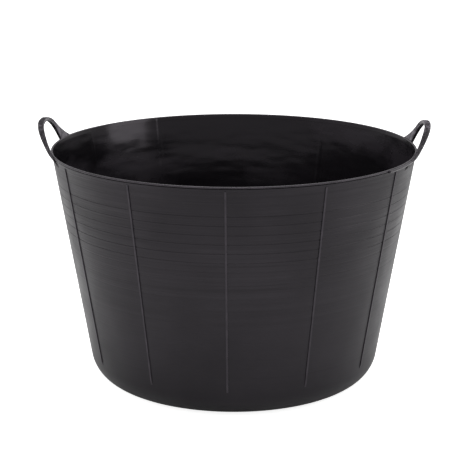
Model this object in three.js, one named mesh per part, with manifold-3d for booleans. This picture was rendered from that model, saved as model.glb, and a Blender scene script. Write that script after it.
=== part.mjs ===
// A flexible mortar mixing tub: a tapered round bucket with a bead rim, twelve thin upright
// ribs on the outside and two strap handles that lean outwards from the rim.
//
// Units are millimetres. +Z is up, z = 0 is the surface that the tub stands on, and the tub's
// axis is the Z axis. The handles are on the +X and -X sides, and one rib faces -Y.

import * as THREE from 'three';
import { mergeVertices } from 'three/addons/utils/BufferGeometryUtils.js';
import Module from 'manifold-3d';

const wasm = await Module();
wasm.setup();

// ---------------------------------------------------------------- driving dimensions

const RIM_RADIUS = 280;          // outside of the bead
const TUB_HEIGHT = 363;          // floor to the top of the bead
const WALL_FOOT_RADIUS = 218.3;  // where the straight wall would meet z = 0
const WALL_THICKNESS = 3.5;
const HEEL_RADIUS = 46.8;        // outside rounding between wall and base
const FACETS = 72;               // round pieces: one facet every 5 degrees
const GAP = 0.3;                 // between neighbouring pieces of the moulding

const BEAD_PROUD = 1.0;          // the bead stands this far outside the wall's line
const BEAD_HEIGHT = 2.6;
const BEAD_WIDTH = 3.6;
const BEAD_ROUNDING = 1.2;
const UNDERCUT_HEIGHT = 1.1;     // the shadow line below the bead
const COLLAR_PROUD = 0.6;        // the low band below the shadow line
const COLLAR_HEIGHT = 3.9;

const FOOT_RING_WIDTH = 12.5;
const FLOOR_LIFT = 2.0;          // the floor's underside clears the ground by this
const FLOOR_THICKNESS = 4.0;

const RIB_COUNT = 12;
const RIB_WIDTH = 3.0;
const RIB_PROUD = 0.9;
const RIB_FOOT = 42;             // height of the lower end of each rib

// The handle's strap is an arch in a sheet that is wrapped round the rim. Along the rim it is
// measured as arc length from the handle's middle, upwards from the top of the bead.
const ARCH_HALF_SPAN = 57.5;
const ARCH_HEIGHT = 38.2;
const ARCH_EXPONENT = 2.65;      // 2 would be an ellipse: this one is squarer
const STRAP_THICKNESS = 4.7;     // across the arch's own line
const STRAP_WIDTH_TOP = 9.5;     // from the face towards the tub to the face away from it
const STRAP_WIDTH_ROOT = 5.8;
const STRAP_SETBACK = 0.9;       // at the root the strap starts this far inside the rim's edge
const HANDLE_LEAN = THREE.MathUtils.degToRad(22.5);
const HANDLE_CURL = 5.0;         // how far the top curls back from the straight lean
const FLARE_REACH = 29;          // how far the root spreads along the rim
const FLARE_HEIGHT = 29.5;       // height at which the flare has run out into the strap
const FLARE_TOP = 25;            // the flare's outline stops here, with under 1 mm left of it
const LEG_HEIGHT = 25;           // the legs end and the grip begins here
const GRIP_RISE = 0.5;           // the grip starts this much higher, which leaves a gap

const FLEX_HEIGHT = 4.0;         // the flex line's height above the bead
const KNUCKLE_RADIUS = 3.6;
const KNUCKLE_OVERHANG = 1.0;    // it reaches this far past the strap's edge
const WEB_TRIM_RADIUS = 14;      // the fixed web stays inside this distance of the flex line
const WEB_CLEARANCE = 0.4;

const GUSSET_DROP = 12;          // how far the gusset reaches below the top of the bead
const GUSSET_INNER_END = 50;     // arc length of its end under the arch
const GUSSET_CORNER_IN = 4;      // its lower corner, from that end
const GUSSET_CORNER_DROP = 9.6;
const GUSSET_TIP_WIDTH = 1.2;    // how far its lower edge stands off the wall
const GUSSET_BURIED = 8;         // its block starts this far inside the rim, to be cut back

const LEDGE_TOP = -1.0;          // the ledge that joins the gussets, below the top of the bead
const LEDGE_HEIGHT = 3.4;
const LEDGE_REACH = 3.2;         // how far it stands outside the rim's edge
const LEDGE_FOOT_REACH = 2.2;

const HEEL_STEPS = 8;            // straight pieces in each curve
const FLARE_STEPS = 9;
const LEG_STEPS = 10;
const GRIP_STEPS = 36;
const KNUCKLE_SIDES = 24;
const CORE_SIDES = 48;
const CUTTER_SIZE = 120;         // cutting bars and blocks this long pass right through a root

// ---------------------------------------------------------------- sizes worked out from those

const WALL_TOP_RADIUS = RIM_RADIUS - BEAD_PROUD;
const WALL_SLOPE = (WALL_TOP_RADIUS - WALL_FOOT_RADIUS) / TUB_HEIGHT;
const WALL_ANGLE = Math.atan(WALL_SLOPE);
const HEEL_CENTRE_RADIUS =
  WALL_FOOT_RADIUS + (HEEL_RADIUS * Math.sin(WALL_ANGLE) - HEEL_RADIUS) / Math.cos(WALL_ANGLE);
const HEEL_TOP = HEEL_RADIUS - HEEL_RADIUS * Math.sin(WALL_ANGLE);
const UNDERCUT_TOP = TUB_HEIGHT - BEAD_HEIGHT;
const COLLAR_TOP = UNDERCUT_TOP - UNDERCUT_HEIGHT;
const WALL_TOP = COLLAR_TOP - COLLAR_HEIGHT;

const outerRadiusAt = (z) => WALL_FOOT_RADIUS + WALL_SLOPE * z;
const innerRadiusAt = (z) => outerRadiusAt(z) - WALL_THICKNESS / Math.cos(WALL_ANGLE);

// ---------------------------------------------------------------- materials

// All of the tub is one charcoal polyethylene; the pieces only differ in how they are finished.
function plastic(colour, roughness) {
  return new THREE.MeshStandardMaterial({ color: colour, roughness, metalness: 0 });
}

const wallPlastic = () => plastic(0x2f2d30, 0.48);
const floorPlastic = () => plastic(0x232224, 0.42);
const rimPlastic = () => plastic(0x3a383b, 0.4);
const handlePlastic = () => plastic(0x343235, 0.6);

// ---------------------------------------------------------------- small helpers

const tub = new THREE.Group();

function addPiece(name, geometry, material, parent = tub) {
  const mesh = new THREE.Mesh(geometry, material);
  mesh.name = name;
  parent.add(mesh);
  return mesh;
}

// Keeps only positions, so that corners shared by several faces become one vertex.
function weld(geometry) {
  const bare = geometry.clone();
  bare.deleteAttribute('normal');
  bare.deleteAttribute('uv');
  return mergeVertices(bare, 1e-4);
}

function toSolid(geometry) {
  const welded = weld(geometry);
  return new wasm.Manifold(new wasm.Mesh({
    numProp: 3,
    vertProperties: new Float32Array(welded.attributes.position.array),
    triVerts: new Uint32Array(welded.index.array),
  }));
}

function toGeometry(solid) {
  const mesh = solid.getMesh();
  const geometry = new THREE.BufferGeometry();
  geometry.setAttribute('position', new THREE.BufferAttribute(mesh.vertProperties, 3));
  geometry.setIndex(new THREE.BufferAttribute(mesh.triVerts, 1));
  geometry.computeVertexNormals();
  return geometry;
}

// Turns a closed outline of [radius, height] points about the Z axis.
function turned(outline) {
  const points = outline.map(([radius, z]) => new THREE.Vector2(radius, z));
  points.push(points[0].clone());
  return new THREE.LatheGeometry(points, FACETS).rotateX(Math.PI / 2);
}

function arc(centreRadius, centreHeight, radius, fromAngle, toAngle, steps) {
  const points = [];
  for (let i = 0; i <= steps; i += 1) {
    const angle = THREE.MathUtils.lerp(fromAngle, toAngle, i / steps);
    points.push([
      centreRadius + radius * Math.cos(angle),
      centreHeight + radius * Math.sin(angle),
    ]);
  }
  return points;
}

// ---------------------------------------------------------------- the tub's body

function sideWall() {
  const outerBottom = HEEL_TOP + GAP;
  const innerBottom = outerBottom + WALL_THICKNESS * Math.sin(WALL_ANGLE);
  return turned([
    [innerRadiusAt(innerBottom), innerBottom],
    [outerRadiusAt(outerBottom), outerBottom],
    [outerRadiusAt(WALL_TOP), WALL_TOP],
    [innerRadiusAt(WALL_TOP), WALL_TOP],
  ]);
}

// The rounded heel, from the wall down to the flat base.
function heelBand() {
  const down = -Math.PI / 2;
  const inner = HEEL_RADIUS - WALL_THICKNESS;
  return turned([
    ...arc(HEEL_CENTRE_RADIUS, HEEL_RADIUS, HEEL_RADIUS, down, -WALL_ANGLE, HEEL_STEPS),
    ...arc(HEEL_CENTRE_RADIUS, HEEL_RADIUS, inner, -WALL_ANGLE, down, HEEL_STEPS),
  ]);
}

// The flat ring that the tub stands on.
function footRing() {
  const outside = HEEL_CENTRE_RADIUS - GAP;
  const inside = outside - FOOT_RING_WIDTH;
  return turned([
    [inside, 0],
    [outside, 0],
    [outside, WALL_THICKNESS],
    [inside, WALL_THICKNESS + FLOOR_LIFT],
  ]);
}

function floorDisc() {
  const edge = HEEL_CENTRE_RADIUS - GAP - FOOT_RING_WIDTH - GAP;
  const points = [
    new THREE.Vector2(0, FLOOR_LIFT),
    new THREE.Vector2(edge, FLOOR_LIFT),
    new THREE.Vector2(edge, FLOOR_LIFT + FLOOR_THICKNESS),
    new THREE.Vector2(0, FLOOR_LIFT + FLOOR_THICKNESS),
  ];
  return new THREE.LatheGeometry(points, FACETS).rotateX(Math.PI / 2);
}

// The bead, the shadow line under it and the low collar, in one ring.
function rimOutline() {
  const bottom = WALL_TOP + GAP;
  const outside = (z, proud) => outerRadiusAt(z) + proud;
  const crown = TUB_HEIGHT - BEAD_ROUNDING;
  const corner = BEAD_ROUNDING * (1 - Math.SQRT1_2);
  return [
    [innerRadiusAt(bottom), bottom],
    [outside(bottom, COLLAR_PROUD), bottom],
    [outside(COLLAR_TOP, COLLAR_PROUD), COLLAR_TOP],
    [outside(COLLAR_TOP, 0), COLLAR_TOP],
    [outside(UNDERCUT_TOP, 0), UNDERCUT_TOP],
    [outside(UNDERCUT_TOP, BEAD_PROUD), UNDERCUT_TOP],
    [RIM_RADIUS, crown],
    [RIM_RADIUS - corner, TUB_HEIGHT - corner],
    [RIM_RADIUS - BEAD_ROUNDING, TUB_HEIGHT],
    [RIM_RADIUS - BEAD_WIDTH + BEAD_ROUNDING, TUB_HEIGHT],
    [RIM_RADIUS - BEAD_WIDTH, crown],
    [innerRadiusAt(UNDERCUT_TOP), UNDERCUT_TOP],
  ];
}

// One upright rib, drawn as seen from the side and given its width across the wall.
function wallRib() {
  const bottom = RIB_FOOT;
  const top = WALL_TOP - GAP;
  const side = new THREE.Shape([
    new THREE.Vector2(outerRadiusAt(bottom) + GAP, bottom),
    new THREE.Vector2(outerRadiusAt(bottom) + RIB_PROUD, bottom + RIB_PROUD),
    new THREE.Vector2(outerRadiusAt(top) + RIB_PROUD, top),
    new THREE.Vector2(outerRadiusAt(top) + GAP, top),
  ]);
  const strip = new THREE.ExtrudeGeometry(side, { depth: RIB_WIDTH, bevelEnabled: false });
  return strip.translate(0, 0, -RIB_WIDTH / 2).rotateX(Math.PI / 2);
}

addPiece('floor_disc', floorDisc(), floorPlastic());
addPiece('foot_ring', footRing(), floorPlastic());
addPiece('heel_band', heelBand(), wallPlastic());
addPiece('side_wall', sideWall(), wallPlastic());
addPiece('rim_band', turned(rimOutline()), rimPlastic());

for (let i = 0; i < RIB_COUNT; i += 1) {
  const rib = addPiece(`wall_rib_${String(i + 1).padStart(2, '0')}`, wallRib(), wallPlastic());
  rib.rotation.z = -Math.PI / 2 + (i * 2 * Math.PI) / RIB_COUNT;
}

// ---------------------------------------------------------------- the handles

// A point of the arch's middle line: t = 0 is the right-hand root, t = PI the left-hand one.
function archPoint(t) {
  const power = 2 / ARCH_EXPONENT;
  const c = Math.cos(t);
  return new THREE.Vector2(
    Math.sign(c) * ARCH_HALF_SPAN * Math.abs(c) ** power,
    ARCH_HEIGHT * Math.max(Math.sin(t), 0) ** power,
  );
}

// The arch's edge, half a strap thickness outside (+1) or inside (-1) its middle line.
function archEdge(t, side) {
  const step = 1e-3;
  const tangent = archPoint(Math.min(t + step, Math.PI)).sub(archPoint(Math.max(t - step, 0)));
  const normal = new THREE.Vector2(tangent.y, -tangent.x).normalize();
  return archPoint(t).addScaledVector(normal, (side * STRAP_THICKNESS) / 2);
}

// The parameter at which the middle line reaches a height on the right-hand side.
function archParameter(height) {
  return Math.asin((height / ARCH_HEIGHT) ** (ARCH_EXPONENT / 2));
}

// How far the root spreads outwards along the rim at a height above the bead.
function flareAt(height) {
  const left = Math.max(1 - height / FLARE_HEIGHT, 0);
  return FLARE_REACH * left * left;
}

// The face towards the tub and the strap's width, both measured outwards from the rim's edge.
function innerFaceAt(height) {
  const up = height / ARCH_HEIGHT;
  return height * Math.tan(HANDLE_LEAN) - STRAP_SETBACK - HANDLE_CURL * up * up;
}

function strapWidthAt(height) {
  return THREE.MathUtils.lerp(STRAP_WIDTH_ROOT, STRAP_WIDTH_TOP, height / ARCH_HEIGHT);
}

// Cuts an outline from a flat sheet and wraps it round the rim on the +X side: x runs along
// the rim, y upwards, and the sheet's own thickness becomes the strap's width.
function wrapped(outline, innerFace = innerFaceAt, widthAt = strapWidthAt) {
  const sheet = new THREE.ExtrudeGeometry(new THREE.Shape(outline), {
    depth: 1,
    bevelEnabled: false,
  });
  const position = sheet.attributes.position;
  for (let i = 0; i < position.count; i += 1) {
    const height = position.getY(i);
    const azimuth = position.getX(i) / RIM_RADIUS;
    const radius = RIM_RADIUS + innerFace(height) + widthAt(height) * position.getZ(i);
    position.setXYZ(
      i,
      radius * Math.cos(azimuth),
      radius * Math.sin(azimuth),
      TUB_HEIGHT + height,
    );
  }
  return sheet;
}

function archOutline(fromT, toT, steps) {
  const outer = [];
  const inner = [];
  for (let i = 0; i <= steps; i += 1) {
    const t = THREE.MathUtils.lerp(fromT, toT, i / steps);
    outer.push(archEdge(t, 1));
    inner.push(archEdge(t, -1));
  }
  return [...outer, ...inner.reverse()];
}

// The flex line runs along Y through the middle of both roots.
const FLEX_RADIUS = RIM_RADIUS + innerFaceAt(FLEX_HEIGHT) + strapWidthAt(FLEX_HEIGHT) / 2;
const FLEX_X = FLEX_RADIUS * Math.cos(ARCH_HALF_SPAN / RIM_RADIUS);
const LEG_OUTER_Y =
  (FLEX_RADIUS + STRAP_WIDTH_ROOT / 2 + KNUCKLE_OVERHANG) *
  Math.sin((ARCH_HALF_SPAN + STRAP_THICKNESS / 2) / RIM_RADIUS);
const LEG_INNER_Y =
  (FLEX_RADIUS - STRAP_WIDTH_ROOT / 2) *
  Math.sin((ARCH_HALF_SPAN - STRAP_THICKNESS / 2) / RIM_RADIUS);

// A round bar along Y, centred on the flex line.
function flexBar(radius, fromY, toY, sides) {
  const bar = new THREE.CylinderGeometry(radius, radius, toY - fromY, sides);
  return bar.translate(FLEX_X, (fromY + toY) / 2, TUB_HEIGHT + FLEX_HEIGHT);
}

// The flare beside one leg, from just above the bead to where it runs out into the strap.
function flareOutline() {
  const outer = [];
  const inner = [];
  for (let i = 0; i <= FLARE_STEPS; i += 1) {
    const height = THREE.MathUtils.lerp(GAP, FLARE_TOP, i / FLARE_STEPS);
    const edge = archEdge(archParameter(height), 1).x;
    outer.push(new THREE.Vector2(edge + flareAt(height), height));
    inner.push(new THREE.Vector2(edge - STRAP_THICKNESS / 2, height));
  }
  return [...outer, ...inner.reverse()];
}

// A block that keeps only what lies beyond a distance along Y.
function beyondY(fromY) {
  const block = new THREE.BoxGeometry(CUTTER_SIZE, CUTTER_SIZE, CUTTER_SIZE);
  return block.translate(FLEX_X, fromY + CUTTER_SIZE / 2, TUB_HEIGHT + FLARE_HEIGHT);
}

// The moving leg: the strap above the flex line, a round knuckle on that line, and the part
// of the flare that is too far from the line to belong to the fixed web.
function legGeometry() {
  const strap = toSolid(wrapped(archOutline(
    archParameter(FLEX_HEIGHT),
    archParameter(LEG_HEIGHT),
    LEG_STEPS,
  )));
  const knuckle = toSolid(flexBar(KNUCKLE_RADIUS, LEG_INNER_Y, LEG_OUTER_Y, KNUCKLE_SIDES));
  const core = toSolid(flexBar(WEB_TRIM_RADIUS + WEB_CLEARANCE, 0, CUTTER_SIZE, CORE_SIDES));
  const fillet = toSolid(wrapped(flareOutline())).subtract(core);
  return toGeometry(strap.add(knuckle).add(fillet));
}

// The fixed web beside the leg, rounded off about the flex line so that the leg can pass it.
function webGeometry() {
  const core = toSolid(flexBar(WEB_TRIM_RADIUS, 0, CUTTER_SIZE, CORE_SIDES));
  const outside = toSolid(beyondY(LEG_OUTER_Y + WEB_CLEARANCE));
  return toGeometry(toSolid(wrapped(flareOutline())).intersect(core).intersect(outside));
}

// The gusset carries the web down the outside of the wall and runs out to a point.
function gussetGeometry() {
  const flareEnd = archEdge(0, 1).x + FLARE_REACH;
  const tipSlope = (2 * FLARE_REACH) / FLARE_HEIGHT;
  const outline = [
    new THREE.Vector2(GUSSET_INNER_END, 0),
    new THREE.Vector2(GUSSET_INNER_END + GUSSET_CORNER_IN, -GUSSET_CORNER_DROP),
    new THREE.Vector2(flareEnd, -GUSSET_DROP),
    new THREE.Vector2(flareEnd + tipSlope * GUSSET_DROP, -GUSSET_DROP),
    new THREE.Vector2(flareEnd, 0),
    new THREE.Vector2((GUSSET_INNER_END + flareEnd) / 2, 0),
  ];
  const outerFace = (height) => {
    const up = 1 + height / GUSSET_DROP;
    const atTop = innerFaceAt(0) + STRAP_WIDTH_ROOT;
    const atTip = WALL_SLOPE * -GUSSET_DROP - BEAD_PROUD + GUSSET_TIP_WIDTH;
    return THREE.MathUtils.lerp(atTip, atTop, up);
  };
  const block = toSolid(wrapped(
    outline,
    () => -GUSSET_BURIED,
    (height) => outerFace(height) + GUSSET_BURIED,
  ));
  const rimOutside = rimOutline().slice(1, 7);
  const clearance = rimOutside.map(([radius, z]) => new THREE.Vector2(radius + GAP, z));
  const low = TUB_HEIGHT - 2 * GUSSET_DROP;
  const bodyWithGap = new THREE.LatheGeometry([
    new THREE.Vector2(0, low),
    new THREE.Vector2(outerRadiusAt(low) + GAP, low),
    new THREE.Vector2(outerRadiusAt(WALL_TOP - GAP) + GAP, WALL_TOP - GAP),
    new THREE.Vector2(clearance[0].x, WALL_TOP - GAP),
    ...clearance,
    new THREE.Vector2(clearance.at(-1).x, TUB_HEIGHT + GAP),
    new THREE.Vector2(0, TUB_HEIGHT + GAP),
  ], FACETS).rotateX(Math.PI / 2);
  return toGeometry(block.subtract(toSolid(bodyWithGap)));
}

// The ledge runs along the outside of the bead, from one gusset to the other: a whole ring,
// cut down to the sector between them.
function ledgeGeometry() {
  const bottom = TUB_HEIGHT + LEDGE_TOP - LEDGE_HEIGHT;
  const top = TUB_HEIGHT + LEDGE_TOP;
  const ring = turned([
    [RIM_RADIUS + GAP, bottom],
    [RIM_RADIUS + LEDGE_FOOT_REACH, bottom],
    [RIM_RADIUS + LEDGE_REACH, (bottom + top) / 2],
    [RIM_RADIUS + LEDGE_REACH, top],
    [RIM_RADIUS + GAP, top],
  ]);
  const halfAngle = (GUSSET_INNER_END - GAP) / RIM_RADIUS;
  const far = 2 * RIM_RADIUS;
  const sector = new THREE.ExtrudeGeometry(new THREE.Shape([
    new THREE.Vector2(0, 0),
    new THREE.Vector2(far * Math.cos(halfAngle), -far * Math.sin(halfAngle)),
    new THREE.Vector2(far * Math.cos(halfAngle), far * Math.sin(halfAngle)),
  ]), { depth: 2 * TUB_HEIGHT, bevelEnabled: false });
  return toGeometry(toSolid(ring).intersect(toSolid(sector)));
}

// The hand-hold between the two legs.
function gripGeometry() {
  const start = archParameter(LEG_HEIGHT + GRIP_RISE);
  return wrapped(archOutline(start, Math.PI - start, GRIP_STEPS));
}

// Makes a mirrored copy across the XZ plane, with its faces turned the right way round again.
function mirroredInY(geometry) {
  return toGeometry(toSolid(geometry).mirror([0, 1, 0]));
}

const leg = legGeometry();
const web = webGeometry();
const gusset = gussetGeometry();
const ledge = ledgeGeometry();
const grip = gripGeometry();

for (const side of ['right', 'left']) {
  const handle = new THREE.Group();
  handle.rotation.z = side === 'right' ? 0 : Math.PI;
  tub.add(handle);
  const plusY = side === 'right' ? 'rear' : 'front';
  const minusY = side === 'right' ? 'front' : 'rear';
  addPiece(`${side}_grip`, grip, handlePlastic(), handle);
  addPiece(`${side}_ledge`, ledge, rimPlastic(), handle);
  for (const [end, place] of [[plusY, (g) => g], [minusY, mirroredInY]]) {
    addPiece(`${side}_${end}_leg`, place(leg), handlePlastic(), handle);
    addPiece(`${side}_${end}_web`, place(web), handlePlastic(), handle);
    addPiece(`${side}_${end}_gusset`, place(gusset), rimPlastic(), handle);
  }
}

export default tub;
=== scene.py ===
# %% [markdown]
# # A flexible mortar mixing tub
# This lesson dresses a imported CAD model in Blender. The tub is one moulding of recycled
# polyethylene: a tapered wall, a rounded heel, a bead rim, thin upright ribs and two strap
# handles that bend where they grow out of the rim. The CAD model holds the sizes and the two
# flex lines, so it is loaded first and never changed. Everything made below is laid round it.

# %% Load the frame
import math
import bpy
import bmesh
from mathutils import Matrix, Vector


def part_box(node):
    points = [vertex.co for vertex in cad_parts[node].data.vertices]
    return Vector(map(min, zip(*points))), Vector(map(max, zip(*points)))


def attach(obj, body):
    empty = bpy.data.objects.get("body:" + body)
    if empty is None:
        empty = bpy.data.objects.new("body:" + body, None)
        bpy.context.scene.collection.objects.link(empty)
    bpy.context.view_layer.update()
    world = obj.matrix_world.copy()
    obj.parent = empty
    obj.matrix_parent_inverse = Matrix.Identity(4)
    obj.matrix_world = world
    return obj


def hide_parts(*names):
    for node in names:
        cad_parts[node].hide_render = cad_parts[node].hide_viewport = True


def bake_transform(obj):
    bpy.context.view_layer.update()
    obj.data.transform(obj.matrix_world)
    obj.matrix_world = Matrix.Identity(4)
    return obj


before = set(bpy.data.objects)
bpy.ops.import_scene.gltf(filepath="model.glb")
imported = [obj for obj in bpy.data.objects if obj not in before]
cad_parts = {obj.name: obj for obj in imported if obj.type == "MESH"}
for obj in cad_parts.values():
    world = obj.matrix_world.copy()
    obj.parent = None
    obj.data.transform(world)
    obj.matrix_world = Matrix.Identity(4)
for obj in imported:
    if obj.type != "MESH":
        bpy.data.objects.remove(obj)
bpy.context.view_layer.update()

# %% [markdown]
# ## Sizes
# Places come from the CAD nodes' own boxes, so that a change there is followed here. What a
# box can't tell, such as the heel's rounding, is a named value in millimetres times MM.

# %% Sizes from the frame
MM = 0.001
TURN = 2 * math.pi
QUARTER = math.pi / 2

RIM_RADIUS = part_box("rim_band")[1].x
RIM_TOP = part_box("rim_band")[1].z
RIM_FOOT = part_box("rim_band")[0].z
WALL_TOP_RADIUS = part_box("side_wall")[1].x
WALL_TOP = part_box("side_wall")[1].z
FOOT_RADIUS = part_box("foot_ring")[1].x
FOOT_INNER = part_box("floor_disc")[1].x
FLOOR_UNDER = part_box("floor_disc")[0].z
FLOOR_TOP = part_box("floor_disc")[1].z

WALL_THICKNESS = 3.5 * MM
HEEL_ROUNDING = 46.8 * MM
WALL_FOOT_RADIUS = 218.3 * MM
WALL_SLOPE = (WALL_TOP_RADIUS - WALL_FOOT_RADIUS) / WALL_TOP
WALL_ANGLE = math.atan(WALL_SLOPE)
HEEL_INSET = (math.sin(WALL_ANGLE) - 1) / math.cos(WALL_ANGLE)
HEEL_CENTRE = WALL_FOOT_RADIUS + HEEL_ROUNDING * HEEL_INSET


def wall_radius(height):
    """The outside of the straight wall at a height."""
    return WALL_FOOT_RADIUS + WALL_SLOPE * height


print(f"rim {RIM_RADIUS / MM:.1f} mm, top {RIM_TOP / MM:.1f} mm")
print(f"the wall leans out {math.degrees(WALL_ANGLE):.2f} degrees")

# %% [markdown]
# ## Drawing an outline
# Wall, floor and rim are round, so each is an outline that is spun about the tub's axis. A
# curve turned to a mesh would do too, but a chain of edges can be looked at point by point. It
# is drawn as a person does it: a plane is merged to one vertex, and that vertex is extruded
# from point to point.

# %% Select nothing but what is worked on
def start_clean():
    """Leaves edit mode and selects nothing, because a new primitive joins what is selected."""
    if bpy.context.object and bpy.context.object.mode == "EDIT":
        bpy.ops.object.mode_set(mode="OBJECT")
    bpy.ops.object.select_all(action="DESELECT")


def make_active(piece):
    start_clean()
    piece.select_set(True)
    bpy.context.view_layer.objects.active = piece


start_clean()
print("selected:", len(bpy.context.selected_objects))

# %% Draw an outline
def draw_outline(name, outline, closed):
    """Draws a chain of edges in the XZ plane through [radius, height] points."""
    start_clean()
    radius, height = outline[0]
    bpy.ops.mesh.primitive_plane_add(size=MM, location=(radius, 0, height))
    piece = bpy.context.object
    piece.name = name
    bpy.ops.object.transform_apply(location=True)
    bpy.ops.object.mode_set(mode="EDIT")
    bpy.ops.mesh.merge(type="CENTER")
    for (r0, z0), (r1, z1) in zip(outline, outline[1:]):
        bpy.ops.mesh.extrude_region_move(TRANSFORM_OT_translate={"value": (r1 - r0, 0, z1 - z0)})
    if closed:
        bpy.ops.mesh.select_all(action="DESELECT")
        mesh = bmesh.from_edit_mesh(piece.data)
        for vertex in mesh.verts:
            vertex.select = len(vertex.link_edges) == 1
        mesh.select_flush(True)
        bpy.ops.mesh.edge_face_add()
    return piece


def arc_points(centre_radius, centre_height, rounding, from_angle, to_angle, steps):
    """Points [radius, height] on an arc, angles measured upwards from straight outwards."""
    points = []
    for i in range(steps + 1):
        angle = from_angle + (to_angle - from_angle) * i / steps
        radius = centre_radius + rounding * math.cos(angle)
        points.append((radius, centre_height + rounding * math.sin(angle)))
    return points


print("an arc from straight outwards to straight up:", arc_points(0, 0, 1, 0, QUARTER, 2))

# %% [markdown]
# ## Turning a shape
# Spin leaves the first and the last outline on top of each other, so doubles are merged, and
# only then are the normals turned outwards. Smooth shading stops at a named angle, so that
# round stretches look round and corners stay corners.

# %% Spin, smooth and measure
SPIN_STEPS = 240
DOUBLES = 0.01 * MM
SLIVERS = 0.001 * MM


def spin_round(piece, steps):
    """Spins the outline once round the tub's axis and closes the seam."""
    bpy.ops.mesh.select_all(action="SELECT")
    bpy.ops.mesh.spin(steps=steps, angle=TURN, center=(0, 0, 0), axis=(0, 0, 1))
    bpy.ops.mesh.select_all(action="SELECT")
    bpy.ops.mesh.remove_doubles(threshold=DOUBLES)
    bpy.ops.mesh.dissolve_degenerate(threshold=SLIVERS)
    bpy.ops.mesh.select_all(action="SELECT")
    bpy.ops.mesh.normals_make_consistent(inside=False)
    bpy.ops.object.mode_set(mode="OBJECT")
    return piece


def smooth(piece, degrees):
    make_active(piece)
    bpy.ops.object.shade_smooth_by_angle(angle=math.radians(degrees))


def report_piece(piece):
    low = [round(min(v.co[i] for v in piece.data.vertices) / MM, 1) for i in range(3)]
    high = [round(max(v.co[i] for v in piece.data.vertices) / MM, 1) for i in range(3)]
    faces = sum(len(p.vertices) - 2 for p in piece.data.polygons)
    print(f"{piece.name}: {faces} triangles, {low} to {high} mm")


print(f"one spin step is {RIM_RADIUS * TURN / SPIN_STEPS / MM:.1f} mm at the rim")

# %% [markdown]
# ## The rings round the wall
# The mould left fine rings round the real tub's wall: shallow grooves at an even pitch, the
# first few below the rim cut deeper than the rest. A bump texture could fake them, but cut
# into the outline they catch the light from every side and are there in the mesh too.

# %% Ring grooves
RING_FIRST = 44 * MM
RING_PITCH = 14.0 * MM
RING_COUNT = 19
RING_STRONG = 6
RING_WIDTH = 1.5 * MM
RING_DEPTH = 0.38 * MM
RING_FAINT = 0.07 * MM
RING_FADING = 5
RING_FADE_FROM = 0.6
# Each point of a groove, as shares of its width and of its depth.
GROOVE = ((-0.9, 0), (-0.5, 0), (-0.22, 0.8), (0, 1), (0.22, 0.8), (0.5, 0), (0.9, 0))


def ring_depth(number):
    """The first rings are cut deep; the next few fade out; the rest are only just there."""
    if number < RING_STRONG:
        return RING_DEPTH
    fade = max(0.0, 1 - (number - RING_STRONG + 1) / RING_FADING)
    return RING_FAINT + (RING_DEPTH * RING_FADE_FROM - RING_FAINT) * fade


def groove_points(height, depth):
    """A shallow rounded groove across the wall. The outermost points keep its shading local."""
    points = []
    for share, cut in GROOVE:
        z = height + share * RING_WIDTH
        points.append((wall_radius(z) - cut * depth, z))
    return points


print("ring depths in mm:", [round(ring_depth(number) / MM, 2) for number in range(RING_COUNT)])

# %% [markdown]
# ## The wall and heel
# The wall leans out so that tubs stack and come off the mould, and a large rounding joins it to
# the base. Outside and inside are drawn as one closed outline, because that makes a closed
# shell with the real wall's thickness, which thins towards the rim.

# %% Wall outline
RIM_WALL = 2.0 * MM
THINNING = 160 * MM
HEEL_STEPS = 16
SEAM = 0.3 * MM
SEAM_LIFT = 0.25 * MM
LIP_IN_RIM = 1.2 * MM
INSIDE_SHARES = (0.9, 0.75, 0.5, 0.25)
INSIDE_RAISE = 20 * MM


def wall_depth(height):
    """The wall's thickness, level. It thins towards the rim, as a drawn-out moulding does."""
    thinned = RIM_WALL + (WALL_THICKNESS - RIM_WALL) * min(1.0, (RIM_TOP - height) / THINNING)
    return thinned / math.cos(WALL_ANGLE)


def wall_outline():
    outside = [(FOOT_RADIUS + SEAM, SEAM_LIFT), (HEEL_CENTRE, 0.0)]
    outside += arc_points(HEEL_CENTRE, HEEL_ROUNDING, HEEL_ROUNDING, -QUARTER, -WALL_ANGLE, HEEL_STEPS)[1:]
    for number in reversed(range(RING_COUNT)):
        outside += groove_points(RIM_TOP - RING_FIRST - number * RING_PITCH, ring_depth(number))
    lip = RIM_FOOT + LIP_IN_RIM
    outside.append((wall_radius(lip), lip))
    inside = [(wall_radius(lip) - wall_depth(lip), lip)]
    for share in INSIDE_SHARES:
        z = lip * share + INSIDE_RAISE
        inside.append((wall_radius(z) - wall_depth(z), z))
    inner_rounding = HEEL_ROUNDING - WALL_THICKNESS
    inside += arc_points(HEEL_CENTRE, HEEL_ROUNDING, inner_rounding, -WALL_ANGLE, -QUARTER, HEEL_STEPS)
    inside.append((FOOT_RADIUS + SEAM, WALL_THICKNESS))
    return outside + inside


tub_wall = spin_round(draw_outline("tub_wall", wall_outline(), closed=True), SPIN_STEPS)
smooth(tub_wall, 28)
report_piece(tub_wall)

# %% [markdown]
# ## The floor
# A tub of this size stands on a flat ring, and its floor is held a little off the ground so
# that it doesn't rock on grit. In the middle is the gate, where the molten plastic came in: a
# small stub in a shallow dimple. Two low rings stiffen it. The disc is spun from an outline
# that starts and ends on the axis, so it closes without a hole.

# %% Floor outline
GATE_STUB = 2.2 * MM
GATE_DIMPLE = 8.5 * MM
GATE_DEPTH = 0.9 * MM
STIFFENER_RADII = (58 * MM, 112 * MM)
STIFFENER_TOP = 1.2 * MM
STIFFENER_FOOT = 2.2 * MM
STIFFENER_HEIGHT = 0.8 * MM


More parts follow.
